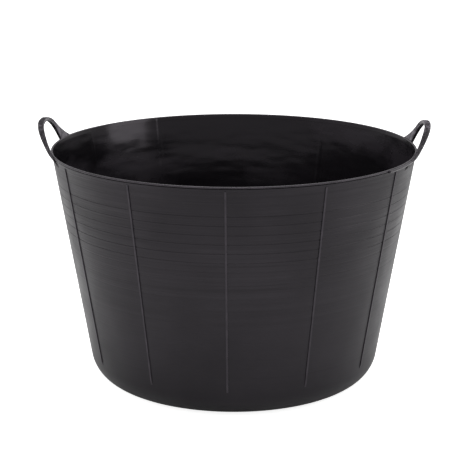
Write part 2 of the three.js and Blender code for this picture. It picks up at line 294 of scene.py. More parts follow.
def floor_outline():
    under = FLOOR_UNDER
    gate = [
        (0.0, under + 0.1 * MM),
        (GATE_STUB, under + 0.1 * MM),
        (GATE_STUB + 0.6 * MM, under + 0.5 * MM),
        (GATE_STUB + 1.2 * MM, under + GATE_DEPTH),
        (GATE_DIMPLE - 1.5 * MM, under + GATE_DEPTH),
        (GATE_DIMPLE, under),
    ]
    stiffeners = []
    for ring in STIFFENER_RADII:
        stiffeners += [
            (ring - STIFFENER_FOOT, under),
            (ring - STIFFENER_TOP, under - STIFFENER_HEIGHT),
            (ring + STIFFENER_TOP, under - STIFFENER_HEIGHT),
            (ring + STIFFENER_FOOT, under),
        ]
    foot = [
        (FOOT_INNER - 1.5 * MM, under),
        (FOOT_INNER + 0.5 * MM, under - 0.6 * MM),
        (FOOT_INNER + 1.4 * MM, 0.3 * MM),
        (FOOT_INNER + 2.4 * MM, 0.0),
        (FOOT_RADIUS - 0.5 * MM, 0.0),
        (FOOT_RADIUS + 0.1 * MM, 0.35 * MM),
        (FOOT_RADIUS + 0.6 * MM, 1.2 * MM),
        (FOOT_RADIUS + 0.6 * MM, WALL_THICKNESS - 0.4 * MM),
    ]
    top = [
        (FOOT_RADIUS - 3 * MM, WALL_THICKNESS + 0.35 * MM),
        (FOOT_INNER + 3 * MM, FLOOR_TOP - 0.5 * MM),
        (FOOT_INNER, FLOOR_TOP - 0.1 * MM),
        (FOOT_INNER - 3 * MM, FLOOR_TOP),
        (0.0, FLOOR_TOP),
    ]
    return gate + stiffeners + foot + top


tub_floor = spin_round(draw_outline("tub_floor", floor_outline(), closed=False), SPIN_STEPS)
smooth(tub_floor, 28)
report_piece(tub_floor)

# %% [markdown]
# ## The rim
# The rim is a rounded bead with a thin shadow line below it and a low collar on the wall. It is
# what a hand and a shovel touch, so its edges are round. A bevel on the wall's own edge would
# give no shadow line, so it is spun as a ring, whose lower end swallows the top of the wall.

# %% Rim outline
BEAD_WIDTH = 3.1 * MM
BEAD_HEIGHT = 2.6 * MM
BEAD_ROUNDING = 1.2 * MM
SHADOW_LINE = 1.1 * MM
SHADOW_DEPTH = 0.9 * MM
COLLAR_PROUD = 0.6 * MM
LOWER_ROUNDING = 0.9 * MM
INNER_COVER = 0.15 * MM


def rim_outline():
    bead_foot = RIM_TOP - BEAD_HEIGHT
    collar_top = bead_foot - SHADOW_LINE
    inner_shift = wall_depth(RIM_TOP) + INNER_COVER
    lower = RIM_RADIUS - LOWER_ROUNDING
    points = [
        (wall_radius(RIM_FOOT) - 1.2 * MM, RIM_FOOT + 0.4 * MM),
        (wall_radius(RIM_FOOT) + 0.1 * MM, RIM_FOOT),
        (wall_radius(RIM_FOOT) + 0.45 * MM, RIM_FOOT + 0.25 * MM),
        (wall_radius(RIM_FOOT) + COLLAR_PROUD, RIM_FOOT + 0.8 * MM),
        (wall_radius(collar_top) + COLLAR_PROUD, collar_top - 0.15 * MM),
        (wall_radius(collar_top) + COLLAR_PROUD - 0.12 * MM, collar_top),
        (wall_radius(collar_top) - SHADOW_DEPTH, collar_top + 0.1 * MM),
        (wall_radius(bead_foot) - SHADOW_DEPTH, bead_foot - 0.1 * MM),
        (RIM_RADIUS - 0.7 * MM, bead_foot),
    ]
    points += arc_points(lower, bead_foot + LOWER_ROUNDING, LOWER_ROUNDING, -QUARTER * 0.6, 0, 3)
    crown = RIM_TOP - BEAD_ROUNDING
    points += arc_points(RIM_RADIUS - BEAD_ROUNDING, crown, BEAD_ROUNDING, 0, QUARTER, 5)
    inner_edge = RIM_RADIUS - BEAD_WIDTH + BEAD_ROUNDING
    points += arc_points(inner_edge, crown, BEAD_ROUNDING, QUARTER, 2 * QUARTER, 5)
    points += [
        (wall_radius(bead_foot) - inner_shift, bead_foot),
        (wall_radius(RIM_FOOT) - inner_shift, RIM_FOOT + 1.0 * MM),
        (wall_radius(RIM_FOOT) - inner_shift + 0.5 * MM, RIM_FOOT + 0.5 * MM),
    ]
    return points


rim_bead = spin_round(draw_outline("rim_bead", rim_outline(), closed=True), SPIN_STEPS)
smooth(rim_bead, 32)
report_piece(rim_bead)

# %% [markdown]
# ## The ribs
# Thin upright ribs stiffen the wall, one every 30 degrees. Each is a soft-edged strip that
# runs out into the wall at its foot. Twelve bumps in the wall's own mesh would need a finer
# wall, so a rib is shaped from a cube: its outer edges are bevelled and its foot is sunk into
# the wall.

# %% Shape one rib
RIB_WIDTH = 2.7 * MM
RIB_PROUD = 1.1 * MM
RIB_SUNK = 0.8 * MM
RIB_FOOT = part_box("wall_rib_01")[0].z
RIB_TOP = RIM_FOOT + 0.5 * MM
RIB_NODES = sorted(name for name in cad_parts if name.startswith("wall_rib_"))
RIB_RUN_OUT = 9 * MM
RIB_EDGE = 1.1 * MM
RIB_FOOT_SINK = 1.3 * RIB_PROUD


def shape_rib(name):
    """A rib standing at the origin's -Y side, before it is tilted."""
    length = (RIB_TOP - RIB_FOOT) / math.cos(WALL_ANGLE)
    depth = RIB_PROUD + RIB_SUNK
    start_clean()
    bpy.ops.mesh.primitive_cube_add(size=1, location=(0, RIB_SUNK - depth / 2, length / 2))
    rib = bpy.context.object
    rib.name = name
    rib.scale = (RIB_WIDTH, depth, length)
    bpy.ops.object.transform_apply(location=True, scale=True)
    bpy.ops.object.mode_set(mode="EDIT")
    mesh = bmesh.from_edit_mesh(rib.data)
    for edge in mesh.edges:
        upright = abs(edge.verts[0].co.z - edge.verts[1].co.z) > length / 2
        edge.select = upright and max(v.co.y for v in edge.verts) < 0
    bmesh.update_edit_mesh(rib.data)
    bpy.ops.mesh.bevel(offset=RIB_EDGE, segments=5, affect="EDGES")
    bpy.ops.mesh.select_all(action="SELECT")
    bpy.ops.mesh.bisect(plane_co=(0, 0, RIB_RUN_OUT), plane_no=(0, 0, 1))
    bpy.ops.mesh.select_all(action="DESELECT")
    mesh = bmesh.from_edit_mesh(rib.data)
    for vertex in mesh.verts:
        vertex.select = vertex.co.z < RIB_RUN_OUT / 2 and vertex.co.y < RIB_SUNK / 2
    mesh.select_flush(True)
    bmesh.update_edit_mesh(rib.data)
    bpy.ops.transform.translate(value=(0, RIB_FOOT_SINK, 0))
    bpy.ops.object.mode_set(mode="OBJECT")
    return rib


first_rib = shape_rib("rib_01")
report_piece(first_rib)

# %% [markdown]
# ### Copies round the wall
# The rib is tilted to the wall's slope first, with its place applied to its mesh. Each copy is
# then a turn about the tub's axis, with a mesh of its own, so that it can carry its own finish.

# %% Tilt the rib and copy it round
first_rib.rotation_euler.x = WALL_ANGLE
first_rib.location = (0, -wall_radius(RIB_FOOT), RIB_FOOT)
make_active(first_rib)
bpy.ops.object.transform_apply(location=True, rotation=True)
ribs = [first_rib]
for number in range(1, len(RIB_NODES)):
    make_active(first_rib)
    bpy.ops.object.duplicate()
    copy = bpy.context.object
    copy.name = f"rib_{number + 1:02d}"
    copy.rotation_euler.z = TURN * number / len(RIB_NODES)
    bpy.ops.object.transform_apply(rotation=True)
    ribs.append(copy)
for rib in ribs:
    smooth(rib, 40)
print(len(ribs), "ribs, one every", 360 / len(ribs), "degrees")
report_piece(ribs[0])

# %% [markdown]
# ## The handles
# Each handle is a strap that rises from the outside of the rim, leans outwards and comes down
# again. On the side towards the fingers it is a channel with a ridge in it, which saves
# plastic. The other side is a grip: stippled at the top, and ribbed on the slant down the
# legs. Towards the rim it flares out along the wall. No edit tool follows such an arch while
# its section changes, so a grid is laid on the strap's own surface: one direction of the grid
# goes round the section, the other along the arch. The arch itself is a formula, worked out
# flat and then wrapped round the rim.

# %% The arch, its flare and its lean
ARCH_HALF_SPAN = 57.5 * MM
ARCH_EXPONENT = 2.65
STRAP_THICKNESS = 4.7 * MM
GRIP_ROOM = 0.6 * MM
ARCH_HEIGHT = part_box("right_grip")[1].z - RIM_TOP - STRAP_THICKNESS / 2 - GRIP_ROOM
STRAP_WIDTH_TOP = 9.5 * MM
STRAP_WIDTH_ROOT = 5.8 * MM
STRAP_SETBACK = 0.9 * MM
HANDLE_LEAN = math.radians(22.5)
HANDLE_CURL = 5.0 * MM
FLARE_REACH = 29 * MM
FLARE_HEIGHT = 29.5 * MM
TANGENT_STEP = 1e-3


def arch_point(t):
    """The arch's middle line, as a squared ellipse: along the rim, and up from the bead."""
    power = 2 / ARCH_EXPONENT
    along = math.copysign(abs(math.cos(t)) ** power, math.cos(t))
    return Vector((ARCH_HALF_SPAN * along, ARCH_HEIGHT * max(math.sin(t), 0.0) ** power))


def arch_edge(t, side):
    """Half a strap thickness outside (+1) or inside (-1) the middle line."""
    tangent = arch_point(min(t + TANGENT_STEP, math.pi)) - arch_point(max(t - TANGENT_STEP, 0.0))
    normal = Vector((tangent.y, -tangent.x)).normalized()
    return arch_point(t) + normal * side * STRAP_THICKNESS / 2


def inner_face(height):
    """How far the face towards the tub stands outside the rim's edge."""
    up = height / ARCH_HEIGHT
    return height * math.tan(HANDLE_LEAN) - STRAP_SETBACK - HANDLE_CURL * up * up


def strap_width(height):
    return STRAP_WIDTH_ROOT + (STRAP_WIDTH_TOP - STRAP_WIDTH_ROOT) * height / ARCH_HEIGHT


def flare(height):
    left = max(1 - height / FLARE_HEIGHT, 0.0)
    return FLARE_REACH * left * left


def round_the_rim(along, height, outwards):
    """Wraps a point of the flat handle round the rim on the +X side."""
    radius = RIM_RADIUS + outwards
    azimuth = along / RIM_RADIUS
    return Vector((radius * math.cos(azimuth), radius * math.sin(azimuth), RIM_TOP + height))


print("crest of the arch above the rim, mm:", round(arch_point(math.pi / 2).y / MM, 1))

# %% [markdown]
# ### Stations along the arch
# The section is set up at many places along the arch. Equal steps of the formula would leave
# wide gaps in some places, so the arch is measured first and cut into equal lengths.

# %% Even stations
STATION_STEP = 0.6 * MM
MEASURING_STEPS = 4000


def even_arch_stations():
    """Values of t that are an even distance apart along the middle line."""
    fine = [math.pi * i / MEASURING_STEPS for i in range(MEASURING_STEPS + 1)]
    lengths = [0.0]
    for a, b in zip(fine, fine[1:]):
        lengths.append(lengths[-1] + (arch_point(b) - arch_point(a)).length)
    count = round(lengths[-1] / STATION_STEP)
    stations, k = [], 0
    for i in range(count + 1):
        wanted = lengths[-1] * i / count
        while k < len(fine) - 2 and lengths[k + 1] < wanted:
            k += 1
        share = (wanted - lengths[k]) / (lengths[k + 1] - lengths[k])
        stations.append(fine[k] + (fine[k + 1] - fine[k]) * share)
    return stations, lengths[-1]


print(len(even_arch_stations()[0]), "stations from rim to rim")

# %% [markdown]
# ### From the wall to the arch and back
# Below the bead each leg ends in a gusset, which spreads along the wall and thins until it is
# gone. That is how the real one hands its pull to the wall. A station holds the two edges of
# the section, its inner and outer face, how deep the channel is, and the length so far.

# %% Stations from gusset to gusset
GUSSET_DROP = 12 * MM
GUSSET_STEPS = 14
GUSSET_NARROWING = 5 * MM
GUSSET_SUNK = 0.8 * MM
GUSSET_PROUD = 0.25 * MM
OUTER_THINNING = 1.5
INNER_THINNING = 6
CHANNEL_RUN_IN = 4 * MM


def gusset_station(drop):
    """Below the bead the section spreads along the wall and thins until it runs out."""
    down = drop / GUSSET_DROP
    height = -drop
    wall = wall_radius(RIM_TOP + height) - RIM_RADIUS
    finger_side = ARCH_HALF_SPAN - STRAP_THICKNESS / 2 - GUSSET_NARROWING * down
    far_side = ARCH_HALF_SPAN + STRAP_THICKNESS / 2 + FLARE_REACH
    far_side += 2 * FLARE_REACH / FLARE_HEIGHT * drop
    low = wall - GUSSET_SUNK
    top_face = inner_face(0) + STRAP_WIDTH_ROOT
    foot_face = wall + GUSSET_PROUD
    high = top_face + (foot_face - top_face) * (1 - (1 - down) ** OUTER_THINNING)
    low = low + (inner_face(0) - low) * (1 - down) ** INNER_THINNING
    return {
        "finger": Vector((finger_side, height)), "far": Vector((far_side, height)),
        "low": low, "high": high, "channel": 0.0, "length": -drop,
    }


def arch_station(t, length):
    finger = arch_edge(t, -1)
    far = arch_edge(t, 1)
    side = 1 if t < math.pi / 2 else -1
    far = Vector((far.x + side * flare(far.y), far.y))
    height = arch_point(t).y
    return {
        "finger": finger, "far": far,
        "low": inner_face(height), "high": inner_face(height) + strap_width(height),
        "channel": min(1.0, max(0.0, height / CHANNEL_RUN_IN)), "length": length,
    }


def handle_stations():
    drops = [GUSSET_DROP * (1 - i / GUSSET_STEPS) for i in range(GUSSET_STEPS)]
    stations = [gusset_station(drop) for drop in drops]
    arch, total = even_arch_stations()
    for i, t in enumerate(arch):
        stations.append(arch_station(t, total * i / (len(arch) - 1)))
    for drop in reversed(drops):
        station = gusset_station(drop)
        for edge in ("finger", "far"):
            station[edge] = Vector((-station[edge].x, station[edge].y))
        station["length"] = total + drop
        stations.append(station)
    return stations, total


print("the strap is", round(handle_stations()[1] / MM), "mm long over the arch")

# %% [markdown]
# ### The grip pattern
# Wet hands hold a pattern better than a smooth strap. Slanting ribs run down the legs, and on
# the hand-hold two sets of them cross and make a stipple. A sine wave across and along the
# strap gives both, and it is added to the mesh, so that the strap's outline shows it too. The
# real pattern is finer; this one is coarse enough to be seen.

# %% Grip relief
GRIP_HEIGHT = 0.42 * MM
GRIP_PITCH = 3.6 * MM
GRIP_RUN_IN = 6 * MM
LEG_SLANT = math.radians(35)
STIPPLE_SLANT = math.radians(50)
STIPPLE_START = 22 * MM
STIPPLE_RUN_IN = 8 * MM
STIPPLE_LIFT = 1.4


def grip_relief(along, across, height):
    """Slanting ribs on the legs, and two crossing sets of ribs, a stipple, on the hand-hold."""
    wave = TURN / GRIP_PITCH
    slant = math.sin(wave * (along * math.sin(LEG_SLANT) + across * math.cos(LEG_SLANT)))
    cross_a = math.sin(wave * (along * math.sin(STIPPLE_SLANT) + across * math.cos(STIPPLE_SLANT)))
    cross_b = math.sin(wave * (along * math.sin(STIPPLE_SLANT) - across * math.cos(STIPPLE_SLANT)))
    up = min(1.0, max(0.0, (height - STIPPLE_START) / STIPPLE_RUN_IN))
    fade_in = min(1.0, max(0.0, height / GRIP_RUN_IN))
    return GRIP_HEIGHT * fade_in * ((1 - up) * slant + up * cross_a * cross_b * STIPPLE_LIFT)


print("relief on a leg, mm:", [round(grip_relief(i * MM, 0, 15 * MM) / MM, 2) for i in range(5)])

# %% [markdown]
# ### The section
# The section is walked round once: the plate beside the channel, the broad face towards the
# tub, the grip, the broad face away from it, then the channel with its ridge. Corners are
# small arcs. The broad faces have points between, because the flare bends them round the rim.

# %% Section of the strap
CORNER = 0.9 * MM
CORNER_LIMIT = 0.3
LIP = 0.3 * MM
LIP_LIMIT = 0.15
CORNER_ANGLES = (30, 60)
GRIP_POINTS = 13
FACE_STEPS = 10
# The channel's two grooves, each point as shares of the groove's depth and the strap's width.
GROOVE_SHALLOW = 3.1 * MM
SHALLOW_GROOVE = ((0.8, 0.86), (1.0, 0.84), (1.0, 0.66), (0.8, 0.64))
GROOVE_DEEP = 3.4 * MM
DEEP_GROOVE = ((0.85, 0.48), (1.0, 0.46), (1.0, 0.31), (0.85, 0.29))
RIDGE_SHARES = (0.62, 0.50)
RIDGE_SET_BACK = 0.1 * MM
PLATE_SHARE = 0.27
OUTER_LIP_SHARE = 0.88


def section_points(station):
    """The closed section at one station, as points (along the rim, up, outwards)."""
    finger, far = station["finger"], station["far"]
    low, high = station["low"], station["high"]
    across = far - finger
    deep = across.length
    direction = across.normalized()
    width = high - low
    corner = min(CORNER, width * CORNER_LIMIT)
    lip = min(LIP, width * LIP_LIMIT)
    channel = station["channel"]
    broad = [lip + (deep - corner - lip) * i / FACE_STEPS for i in range(FACE_STEPS + 1)]
    points = [(0.0, PLATE_SHARE * width), (0.0, lip)] + [(depth, 0.0) for depth in broad]
    for angle in CORNER_ANGLES:
        a = math.radians(angle)
        points.append((deep - corner + corner * math.sin(a), corner - corner * math.cos(a)))
    for i in range(GRIP_POINTS):
        y = corner + (width - 2 * corner) * i / (GRIP_POINTS - 1)
        edge_fade = math.sin(math.pi * (i + 0.5) / GRIP_POINTS) ** 0.5
        relief = grip_relief(station["length"], y, far.y) * edge_fade
        points.append((deep + relief, y))
    for angle in reversed(CORNER_ANGLES):
        a = math.radians(angle)
        points.append((deep - corner + corner * math.sin(a), width - corner + corner * math.cos(a)))
    points += [(depth, width) for depth in reversed(broad)]
    points += [(0.0, width - lip), (0.0, OUTER_LIP_SHARE * width)]
    shallow, steep, ridge = GROOVE_SHALLOW * channel, GROOVE_DEEP * channel, RIDGE_SET_BACK * channel
    points += [(shallow * depth, y * width) for depth, y in SHALLOW_GROOVE]
    points += [(ridge, y * width) for y in RIDGE_SHARES]
    points += [(steep * depth, y * width) for depth, y in DEEP_GROOVE]
    placed = []
    for depth, y in points:
        flat = finger + direction * depth
        placed.append((flat.x, flat.y, low + y))
    return placed


print(len(section_points(handle_stations()[0][0])), "points round the section")

# %% [markdown]
# ### What the finish needs to know
# The material paints the grip's pattern light where it stands high and shade where it is low,
# paints the channel black as shade, and paints a highlight near the crest. So it has to know
# where the pattern stands high, where the channel is, and how near the crest a point lies.
# Those are written on the mesh as attributes, because a pattern in space would slide over the
# strap when it bends. The face towards the tub is smooth and painted pale as a highlight, so
# its columns of the grid take a finish of their own.

# %% Ribbing, columns and crest
GRIP_START = FACE_STEPS + 5
FAR_LIP = GRIP_START + GRIP_POINTS + FACE_STEPS + 2
HIGHLIGHT_COLUMNS = range(FACE_STEPS + 4)
CREST_START = 30 * MM


def ribbing_light_at(station, column):
    """How high the grip's pattern stands at a column of the grid, 0 to 1; the channel is 0.
    The material paints this as light and shade, and the channel black as shade.
    """
    step = column - GRIP_START
    if column > FAR_LIP + 2:
        return 0.0
    if not 0 <= step < GRIP_POINTS:
        return 0.5
    width = station["high"] - station["low"]
    across = CORNER + (width - 2 * CORNER) * step / (GRIP_POINTS - 1)
    return 0.5 + 0.5 * grip_relief(station["length"], across, station["far"].y) / GRIP_HEIGHT


print("rubbed columns:", len(HIGHLIGHT_COLUMNS), "grip columns:", GRIP_POINTS)

# %% [markdown]
# ### Laying the grid
# A grid primitive gives the faces, and each of its vertices is put in its place on the strap.
# Its last column lies on its first, so doubles are merged, and its two ends are then filled.

# %% Lay the strap
STRAP_DOUBLES = 0.002 * MM


def lay_strap(name):
    stations, total = handle_stations()
    rows = [section_points(s) for s in stations]
    round_count = len(rows[0])
    start_clean()
    bpy.ops.mesh.primitive_grid_add(x_subdivisions=round_count, y_subdivisions=len(rows) - 1, size=1)
    strap = bpy.context.object
    strap.name = name
    columns = round_count + 1
    for i, vertex in enumerate(strap.data.vertices):
        row, column = divmod(i, columns)
        vertex.co = round_the_rim(*rows[row][column % round_count])
    # The ribbing value is painted as light and shade, the channel black as shade; the crest value places a
    # painted highlight.
    ribbing_light = strap.data.attributes.new("ribbing_light", "FLOAT", "POINT")
    crest = strap.data.attributes.new("crest", "FLOAT", "POINT")
    for i in range(len(strap.data.vertices)):
        row, column = divmod(i, columns)
        ribbing_light.data[i].value = ribbing_light_at(stations[row], column % round_count)
        raised = stations[row]["far"].y - CREST_START
        crest.data[i].value = min(1.0, max(0.0, raised / (ARCH_HEIGHT - CREST_START)))
    # The face towards the tub takes the pale plastic, a painted highlight.
    for polygon in strap.data.polygons:
        column = min(v % columns for v in polygon.vertices)
        raised = stations[min(polygon.vertices) // columns]["channel"] > 0
        polygon.material_index = int(raised and column in HIGHLIGHT_COLUMNS)
    bpy.ops.object.mode_set(mode="EDIT")
    bpy.ops.mesh.select_all(action="SELECT")
    bpy.ops.mesh.remove_doubles(threshold=STRAP_DOUBLES)
    bpy.ops.mesh.select_all(action="DESELECT")
    bpy.ops.mesh.select_non_manifold()
    bpy.ops.mesh.fill_holes(sides=0)
    bpy.ops.mesh.select_all(action="SELECT")
    bpy.ops.mesh.normals_make_consistent(inside=False)
    bpy.ops.object.mode_set(mode="OBJECT")
    print(f"{name}: arch {total / MM:.0f} mm long, {len(rows)} stations of {round_count} points")
    return strap


right_strap = lay_strap("right_strap")
smooth(right_strap, 38)
report_piece(right_strap)

# %% [markdown]
# ## The ledge under each handle
# Between its two roots the handle's flange carries on along the outside of the bead as a low
# ledge. It is spun through the few degrees that it needs, and its ends are hidden in the legs.

# %% Ledge
LEDGE_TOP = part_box("right_ledge")[1].z
LEDGE_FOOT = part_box("right_ledge")[0].z
LEDGE_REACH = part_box("right_ledge")[1].x
LEDGE_END = 57 * MM
LEDGE_ROUNDING = 0.7 * MM
LEDGE_BURIED = 1.2 * MM
LEDGE_STEPS = 24


def shape_ledge(name):
    half = LEDGE_END / RIM_RADIUS
    middle = (LEDGE_TOP + LEDGE_FOOT) / 2
    outline = [(RIM_RADIUS - LEDGE_BURIED, LEDGE_FOOT), (LEDGE_REACH - 1.3 * MM, LEDGE_FOOT)]
    outline += [(LEDGE_REACH - 0.3 * MM, LEDGE_FOOT + 0.9 * MM), (LEDGE_REACH, middle)]
    crown = LEDGE_TOP - LEDGE_ROUNDING
    outline += arc_points(LEDGE_REACH - LEDGE_ROUNDING, crown, LEDGE_ROUNDING, 0, QUARTER, 4)
    outline.append((RIM_RADIUS - LEDGE_BURIED, LEDGE_TOP))
    piece = draw_outline(name, outline, closed=True)
    bpy.ops.mesh.select_all(action="SELECT")
    bpy.ops.transform.rotate(value=half, orient_axis="Z", center_override=(0, 0, 0))
    sign = 1 if list(bmesh.from_edit_mesh(piece.data).verts)[0].co.y > 0 else -1
    bpy.ops.mesh.edge_face_add()
    bpy.ops.mesh.spin(steps=LEDGE_STEPS, angle=-2 * half * sign, center=(0, 0, 0), axis=(0, 0, 1))
    bpy.ops.mesh.select_all(action="SELECT")
    bpy.ops.mesh.remove_doubles(threshold=DOUBLES)
    bpy.ops.mesh.normals_make_consistent(inside=False)
    bpy.ops.object.mode_set(mode="OBJECT")
    return piece


right_ledge_strip = shape_ledge("right_ledge_strip")
smooth(right_ledge_strip, 35)
report_piece(right_ledge_strip)

# %% [markdown]
# ## The left-hand handle
# The tub is the same from both sides, so the left-hand strap and ledge are half-turn copies. A
# mirror would reverse the slant of the ribs and turn the faces inside out.

# %% Left-hand copies
def half_turn_copy(piece, name):
    make_active(piece)
    bpy.ops.object.duplicate()
    copy = bpy.context.object
    copy.name = name
    copy.rotation_euler.z = math.pi
    bpy.ops.object.transform_apply(rotation=True)
    return copy


left_strap = half_turn_copy(right_strap, "left_strap")
left_ledge_strip = half_turn_copy(right_ledge_strip, "left_ledge_strip")
report_piece(left_strap)

# %% [markdown]
# ## Materials
# Everything is recycled polyethylene with carbon black in it: a near-black body with a soft,
# waxy gloss. What changes from place to place is the surface that the mould gave it.

# %% Colour and node helpers
def linear(hex_colour):
    """An sRGB hex colour as the linear RGBA that Blender's sockets hold."""
    channels = [int(hex_colour[i:i + 2], 16) / 255 for i in (1, 3, 5)]
    flat = [c / 12.92 if c <= 0.04045 else ((c + 0.055) / 1.055) ** 2.4 for c in channels]
    return (*flat, 1.0)


def add(tree, kind, sockets=None, out=0, **settings):
    """Adds one node with its settings, fills or links its sockets, and gives one output."""
    made = tree.nodes.new(kind)
    for key, value in settings.items():
        setattr(made, key, value)
    for key, value in (sockets or {}).items():
        if isinstance(value, bpy.types.NodeSocket):
            tree.links.new(value, made.inputs[key])
        else:
            made.inputs[key].default_value = value
    return made.outputs[out] if made.outputs else made


def new_material(name):
    """An empty node tree, with the piece's own coordinates to start from."""
    material = bpy.data.materials.new(name)
    material.use_nodes = True
    material.node_tree.nodes.clear()
    return material, material.node_tree, add(material.node_tree, "ShaderNodeTexCoord", out="Object")


def per(size_mm):
    """The texture scale whose features are about this many millimetres across."""
    return 1 / (size_mm * MM)


MAUVE = linear("#fdf4ff")
print("black plastic, linear:", [round(channel, 4) for channel in linear("#201e21")])

# %% [markdown]
# ### Outside of the wall
# Polyethylene has an IOR of about 1.5, but a moulded wall is micro-rough and reflects less, so
# it is matched lower. The mould was turned on a lathe, and its fine tool lines run round the
# wall: a noise that is squeezed flat along Z draws them as a bump. Their crests are painted
# paler, a painted highlight, and their hollows near black, a painted shade. The real lines are
# under 1 mm apart; they are drawn at about 5 mm, so that they show. Patches keep them from
# being even, and they die out towards the heel, where the mould was polished.

# %% Outside of the wall
TOOL_LINE_RUN = 2.2


def wall_plastic():
    material, tree, place = new_material("moulded_polyethylene_turned_lines")
    flat = (TOOL_LINE_RUN, TOOL_LINE_RUN, per(5))
    squeezed = add(tree, "ShaderNodeMapping", {"Vector": place, "Scale": flat})
    lines = add(tree, "ShaderNodeTexNoise", {"Vector": squeezed, "Scale": 1.0, "Detail": 4.0})
    bands = add(tree, "ShaderNodeTexNoise", {"Vector": place, "Scale": per(140), "Detail": 2.0})
    patches = add(tree, "ShaderNodeMapRange", {"Value": bands, "From Min": 0.42, "From Max": 0.6})
    height = add(tree, "ShaderNodeSeparateXYZ", {"Vector": place}, out="Z")
    upper = add(tree, "ShaderNodeMapRange", {
        "Value": height, "From Min": 120 * MM, "From Max": 280 * MM, "To Min": 0.15})
    strength = add(tree, "ShaderNodeMath", {0: patches, 1: upper}, operation="MULTIPLY")
    # Painted highlight on the crests of the tool lines and painted shade in their hollows.
    crests = add(tree, "ShaderNodeMapRange", {"Value": lines, "From Min": 0.5, "From Max": 0.72})
    painted_line_highlight = add(tree, "ShaderNodeMath", {0: crests, 1: strength}, operation="MULTIPLY")
    hollows = add(tree, "ShaderNodeMapRange", {"Value": lines, "From Min": 0.45, "From Max": 0.3})
    painted_line_shade = add(tree, "ShaderNodeMath", {0: hollows, 1: strength}, operation="MULTIPLY")
    drifts = add(tree, "ShaderNodeTexNoise", {"Vector": place, "Scale": per(150), "Detail": 7.0})
    clouds = add(tree, "ShaderNodeMapRange", {"Value": drifts, "From Min": 0.3, "From Max": 0.7})
    tone = add(tree, "ShaderNodeMix", {0: clouds, 6: linear("#0b0a0c"), 7: linear("#201e21")},
               out=2, data_type="RGBA")
    with_line_highlight = add(tree, "ShaderNodeMix", {0: painted_line_highlight, 6: tone, 7: linear("#262427")}, out=2, data_type="RGBA")
    colour = add(tree, "ShaderNodeMix", {0: painted_line_shade, 6: with_line_highlight, 7: linear("#040404")},
                 out=2, data_type="RGBA")
    waxy = add(tree, "ShaderNodeTexNoise", {"Vector": place, "Scale": per(60), "Detail": 4.0})
    rough = add(tree, "ShaderNodeMapRange", {
        "Value": waxy, "From Min": 0.3, "From Max": 0.7, "To Min": 0.30, "To Max": 0.42})
    swell = add(tree, "ShaderNodeTexNoise", {"Vector": place, "Scale": per(110), "Detail": 1.0})
    waves = add(tree, "ShaderNodeBump", {"Height": swell, "Distance": 1.4 * MM})
    cut = add(tree, "ShaderNodeMath", {0: lines, 1: upper}, operation="MULTIPLY")
    turned = add(tree, "ShaderNodeBump", {"Height": cut, "Distance": 0.75 * MM, "Normal": waves})
    grit = add(tree, "ShaderNodeTexNoise", {"Vector": place, "Scale": per(1.4), "Detail": 2.0})
    grain = add(tree, "ShaderNodeBump", {"Height": grit, "Distance": 0.03 * MM, "Normal": turned})
    shader = add(tree, "ShaderNodeBsdfPrincipled", {
        "Base Color": colour, "Roughness": rough, "Normal": grain, "IOR": 1.39, "Specular Tint": MAUVE})
    add(tree, "ShaderNodeOutputMaterial", {"Surface": shader})
    return material


OUTSIDE = wall_plastic()
print("made", OUTSIDE.name)

# %% [markdown]
# ### Ribs
# The ribs are painted a paler grey than the wall, a painted highlight, and in patches they are
# drier, which draws each rib as a light line.

# %% Ribs
def rib_plastic():
    material, tree, place = new_material("polyethylene_rib_painted_highlight")
    rib_sheen_noise = add(tree, "ShaderNodeTexNoise", {"Vector": place, "Scale": per(17), "Detail": 4.0})
    highlight_patches = add(tree, "ShaderNodeMapRange", {"Value": rib_sheen_noise, "From Min": 0.3, "From Max": 0.7})
    # The rib's paler grey is a painted highlight.
    colour = add(tree, "ShaderNodeMix", {0: highlight_patches, 6: linear("#242226"), 7: linear("#3a363b")},
                 out=2, data_type="RGBA")
    rough = add(tree, "ShaderNodeMapRange", {"Value": highlight_patches, "To Min": 0.35, "To Max": 0.5})
    nicks = add(tree, "ShaderNodeTexNoise", {"Vector": place, "Scale": per(3), "Detail": 3.0})
    dented = add(tree, "ShaderNodeBump", {"Height": nicks, "Distance": 0.06 * MM})
    shader = add(tree, "ShaderNodeBsdfPrincipled", {
        "Base Color": colour, "Roughness": rough, "Normal": dented, "IOR": 1.42, "Specular Tint": MAUVE})
    add(tree, "ShaderNodeOutputMaterial", {"Surface": shader})
    return material


RIB = rib_plastic()
print("made", RIB.name)

# %% [markdown]
# ### Rim
# The bead is smoother than the wall, and it is painted paler as a highlight, so it draws a thin
# bright line round the mouth.

# %% Rim
def rim_plastic():
    material, tree, place = new_material("polyethylene_rim_painted_highlight")
    sheen_patch_noise = add(tree, "ShaderNodeTexNoise", {"Vector": place, "Scale": per(22), "Detail": 4.0})
    patchy_sheen = add(tree, "ShaderNodeMapRange", {"Value": sheen_patch_noise, "From Min": 0.3, "From Max": 0.7})
    # The bead's paler grey is a painted highlight.
    colour = add(tree, "ShaderNodeMix", {0: patchy_sheen, 6: linear("#252226"), 7: linear("#3a363b")},
                 out=2, data_type="RGBA")
    rough = add(tree, "ShaderNodeMapRange", {"Value": patchy_sheen, "To Min": 0.2, "To Max": 0.34})
    nicks = add(tree, "ShaderNodeTexNoise", {"Vector": place, "Scale": per(14), "Detail": 3.0})
    dented = add(tree, "ShaderNodeBump", {"Height": nicks, "Distance": 0.05 * MM})
    shader = add(tree, "ShaderNodeBsdfPrincipled", {
        "Base Color": colour, "Roughness": rough, "Normal": dented, "IOR": 1.46, "Specular Tint": MAUVE})
    add(tree, "ShaderNodeOutputMaterial", {"Surface": shader})
    return material


RIM = rim_plastic()
print("made", RIM.name)
